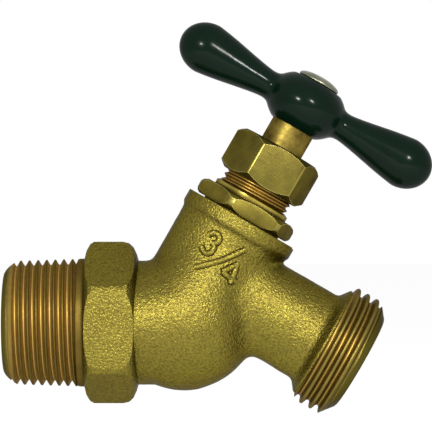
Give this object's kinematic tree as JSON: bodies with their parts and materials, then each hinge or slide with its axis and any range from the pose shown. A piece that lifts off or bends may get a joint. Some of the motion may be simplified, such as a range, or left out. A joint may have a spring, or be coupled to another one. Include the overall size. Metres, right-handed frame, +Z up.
{
  "type": "hose bib",
  "caption": "Angled brass hose bib: tapered pipe thread inlet with a wrench hex, globe body, slanting stem with a green coated T-handle and a hose thread outlet.",
  "frame": {"origin": "centre of the inlet's end face, on the axis of the inlet pipe thread", "axes": "+X runs along the inlet away from the wall, +Z is up, and the plane Y = 0 holds the inlet, stem and outlet axes"},
  "size_m": [0.0903, 0.0316, 0.0829],
  "materials": {
    "cast_brass": "sand cast, fine grain",
    "machined_brass": "satin machined",
    "stem_brass": "polished",
    "fibre": "matt pressed fibre",
    "graphite": "matt braided packing",
    "black_rubber": "matt",
    "cast_iron": "as cast",
    "green_vinyl": "glossy dipped coating",
    "nickel": "dull nickel plate"
  },
  "bodies": {
    "body_and_bonnet": {"valve_body": "cast_brass", "bonnet_gasket": "fibre", "bonnet": "machined_brass", "packing_washer": "machined_brass", "packing_ring_lower": "graphite", "packing_ring_upper": "graphite", "packing_gland": "machined_brass", "packing_nut": "machined_brass"},
    "disc_assembly": {"disc_holder": "machined_brass", "seat_washer": "black_rubber", "seat_washer_screw": "machined_brass"},
    "stem_and_handle": {"stem": "stem_brass", "handle_core": "cast_iron", "handle_coating": "green_vinyl", "handle_washer": "machined_brass", "handle_screw": "nickel"}
  },
  "joints": [
    {"name": "stem_rise", "type": "slide", "parent": "body_and_bonnet", "child": "disc_assembly", "axis": [0.5, 0, 0.866], "range_m": [0, 0.007]},
    {"name": "handle_turn", "type": "hinge", "parent": "disc_assembly", "child": "stem_and_handle", "pos_m": [0.04285, 0, 0.00996], "axis": [0.5, 0, 0.866], "range_deg": [0, 990]}
  ],
  "couplings": [
    {"joint": "stem_rise", "follows": "handle_turn", "m_per_rad": 0.00040425}
  ]
}
